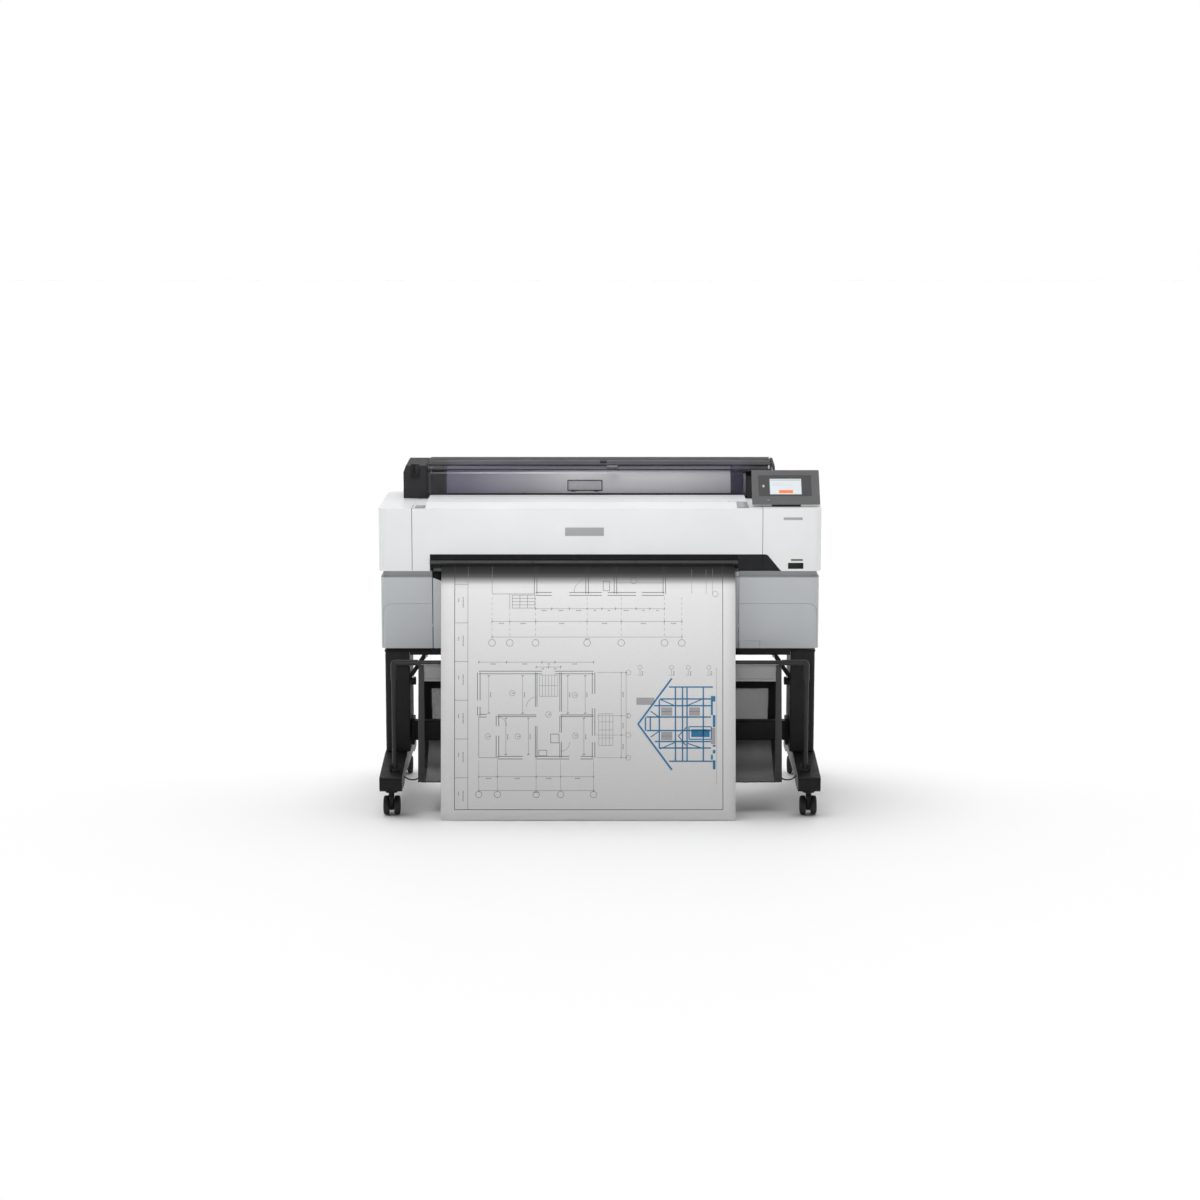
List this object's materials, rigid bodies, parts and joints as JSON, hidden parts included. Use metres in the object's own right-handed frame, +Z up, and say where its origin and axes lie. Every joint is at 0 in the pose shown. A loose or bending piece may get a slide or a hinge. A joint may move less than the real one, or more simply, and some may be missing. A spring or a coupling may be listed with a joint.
{
  "type": "large format plotter",
  "caption": "Floor standing large format plotter with roll media, tilting touch panel, hinged covers, paper basket and a printed sheet hanging from its exit.",
  "frame": {"origin": "On the floor under the middle of the bounding box.", "axes": "X runs to the operator's right, Y runs to the back, Z up."},
  "size_m": [1.385, 0.73, 1.0642],
  "materials": {
    "white_plastic": "fine moulded texture",
    "grey_plastic": "fine moulded texture",
    "skirt_plastic": "fine moulded texture",
    "black_plastic": "satin moulded",
    "panel_plastic": "satin moulded",
    "panel_glass": "smooth dark cover glass with a lit display",
    "smoke_plastic": "clear smoke tinted",
    "leg_paint": "fine powder coat",
    "rod_paint": "satin paint",
    "steel": "zinc plated sheet",
    "rubber": "matt",
    "caster_tyre": "matt",
    "basket_fabric": "tight woven polyester",
    "paper": "uncoated, matt",
    "ink_black": "satin",
    "ink_cyan": "satin",
    "ink_magenta": "satin",
    "ink_yellow": "satin"
  },
  "bodies": {
    "base": {"main_frame": "steel", "left_leg": "leg_paint", "right_leg": "leg_paint", "left_foot": "leg_paint", "right_foot": "leg_paint", "crossbeam": "leg_paint", "left_brace": "black_plastic", "right_brace": "black_plastic", "left_bag_hook": "rod_paint", "right_bag_hook": "rod_paint", "basket_bag": "basket_fabric", "lower_left_cover": "grey_plastic", "lower_center_cover": "grey_plastic", "lower_right_cover": "grey_plastic", "right_skirt": "skirt_plastic", "exit_sill": "grey_plastic", "ink_cartridge_black": "ink_black", "ink_cartridge_cyan": "ink_cyan", "ink_cartridge_magenta": "ink_magenta", "ink_cartridge_yellow": "ink_yellow", "left_side_cover": "white_plastic", "right_side_cover": "white_plastic", "recess_panel": "black_plastic", "rear_cover": "white_plastic", "power_inlet": "black_plastic", "left_roll_housing": "black_plastic", "right_roll_housing": "black_plastic", "platen": "black_plastic", "carriage_rail": "steel", "drive_belt": "rubber", "panel_stand": "black_plastic"},
    "front_cover": {"front_cover": "white_plastic", "exit_bar": "black_plastic", "cover_end_cap": "black_plastic"},
    "roll_cover": {"roll_cover": "smoke_plastic", "roll_cover_handle": "panel_plastic"},
    "media_roll": {"paper_roll": "paper", "left_roll_adapter": "black_plastic", "right_roll_adapter": "black_plastic"},
    "feed_roller": {"feed_roller": "rubber"},
    "pinch_roller": {"pinch_roller": "rubber"},
    "print_carriage": {"print_carriage": "black_plastic"},
    "drive_pulley": {"drive_pulley": "steel"},
    "idler_pulley": {"idler_pulley": "steel"},
    "ink_door": {"ink_door": "skirt_plastic"},
    "maintenance_box": {"maintenance_box": "skirt_plastic"},
    "control_panel": {"panel_housing": "panel_plastic", "panel_screen": "panel_glass"},
    "power_button": {"power_button": "panel_plastic"},
    "basket_frame": {"basket_rod": "rod_paint", "basket_front": "basket_fabric"},
    "hanging_sheet": {"printed_sheet": "paper"},
    "front_left_caster": {"front_left_caster_fork": "black_plastic"},
    "front_left_wheels": {"front_left_caster_wheels": "caster_tyre"},
    "front_right_caster": {"front_right_caster_fork": "black_plastic"},
    "front_right_wheels": {"front_right_caster_wheels": "caster_tyre"},
    "rear_left_caster": {"rear_left_caster_fork": "black_plastic"},
    "rear_left_wheels": {"rear_left_caster_wheels": "caster_tyre"},
    "rear_right_caster": {"rear_right_caster_fork": "black_plastic"},
    "rear_right_wheels": {"rear_right_caster_wheels": "caster_tyre"}
  },
  "joints": [
    {"name": "front_cover_hinge", "type": "hinge", "parent": "base", "child": "front_cover", "pos_m": [0, 0.091, 0.958], "axis": [-1, 0, 0], "range_deg": [0, 58]},
    {"name": "roll_cover_hinge", "type": "hinge", "parent": "base", "child": "roll_cover", "pos_m": [0, 0.289, 0.951], "axis": [-1, 0, 0], "range_deg": [0, 75]},
    {"name": "panel_tilt", "type": "hinge", "parent": "base", "child": "control_panel", "pos_m": [0.585, -0.098, 0.955], "axis": [-1, 0, 0], "range_deg": [0, 20]},
    {"name": "power_button_press", "type": "slide", "parent": "control_panel", "child": "power_button", "axis": [0, 0.766, -0.6428], "range_m": [0, 0.0015], "stiffness_N_per_m": 300},
    {"name": "ink_door_hinge", "type": "hinge", "parent": "base", "child": "ink_door", "pos_m": [-0.603, -0.1635, 0.509], "axis": [1, 0, 0], "range_deg": [0, 88]},
    {"name": "maintenance_box_slide", "type": "slide", "parent": "base", "child": "maintenance_box", "axis": [0, -1, 0], "range_m": [0, 0.12]},
    {"name": "carriage_travel", "type": "slide", "parent": "base", "child": "print_carriage", "axis": [1, 0, 0], "range_m": [-0.98, 0]},
    {"name": "drive_pulley_spin", "type": "hinge", "parent": "base", "child": "drive_pulley", "pos_m": [0.566, 0.075, 0.85], "axis": [0, 1, 0], "continuous": true},
    {"name": "idler_pulley_spin", "type": "hinge", "parent": "base", "child": "idler_pulley", "pos_m": [-0.566, 0.075, 0.85], "axis": [0, 1, 0], "continuous": true},
    {"name": "feed_spin", "type": "hinge", "parent": "base", "child": "feed_roller", "pos_m": [0, 0.017, 0.7546], "axis": [1, 0, 0], "continuous": true},
    {"name": "pinch_spin", "type": "hinge", "parent": "base", "child": "pinch_roller", "pos_m": [0, 0.017, 0.778], "axis": [1, 0, 0], "continuous": true},
    {"name": "media_roll_spin", "type": "hinge", "parent": "base", "child": "media_roll", "pos_m": [0, 0.193, 0.975], "axis": [1, 0, 0], "continuous": true},
    {"name": "basket_swing", "type": "hinge", "parent": "base", "child": "basket_frame", "pos_m": [0, -0.257, 0.148], "axis": [1, 0, 0], "range_deg": [0, 30]},
    {"name": "sheet_swing", "type": "hinge", "parent": "base", "child": "hanging_sheet", "pos_m": [0, -0.181, 0.771], "axis": [-1, 0, 0], "range_deg": [0, 27.6]},
    {"name": "front_left_swivel", "type": "hinge", "parent": "base", "child": "front_left_caster", "pos_m": [-0.651, -0.291, 0.08], "axis": [0, 0, 1], "continuous": true},
    {"name": "front_left_roll", "type": "hinge", "parent": "front_left_caster", "child": "front_left_wheels", "pos_m": [-0.651, -0.273, 0.0295], "axis": [1, 0, 0], "continuous": true},
    {"name": "front_right_swivel", "type": "hinge", "parent": "base", "child": "front_right_caster", "pos_m": [0.651, -0.291, 0.08], "axis": [0, 0, 1], "continuous": true},
    {"name": "front_right_roll", "type": "hinge", "parent": "front_right_caster", "child": "front_right_wheels", "pos_m": [0.651, -0.273, 0.0295], "axis": [1, 0, 0], "continuous": true},
    {"name": "rear_left_swivel", "type": "hinge", "parent": "base", "child": "rear_left_caster", "pos_m": [-0.651, 0.335, 0.08], "axis": [0, 0, 1], "continuous": true},
    {"name": "rear_left_roll", "type": "hinge", "parent": "rear_left_caster", "child": "rear_left_wheels", "pos_m": [-0.651, 0.317, 0.0295], "axis": [1, 0, 0], "continuous": true},
    {"name": "rear_right_swivel", "type": "hinge", "parent": "base", "child": "rear_right_caster", "pos_m": [0.651, 0.335, 0.08], "axis": [0, 0, 1], "continuous": true},
    {"name": "rear_right_roll", "type": "hinge", "parent": "rear_right_caster", "child": "rear_right_wheels", "pos_m": [0.651, 0.317, 0.0295], "axis": [1, 0, 0], "continuous": true}
  ],
  "couplings": [
    {"joint": "drive_pulley_spin", "follows": "carriage_travel", "rad_per_m": 86.207},
    {"joint": "idler_pulley_spin", "follows": "carriage_travel", "rad_per_m": 86.207},
    {"joint": "pinch_spin", "follows": "feed_spin", "ratio": -2.5},
    {"joint": "media_roll_spin", "follows": "feed_spin", "ratio": 0.21429},
    {"joint": "sheet_swing", "follows": "basket_swing", "ratio": 0.92}
  ]
}
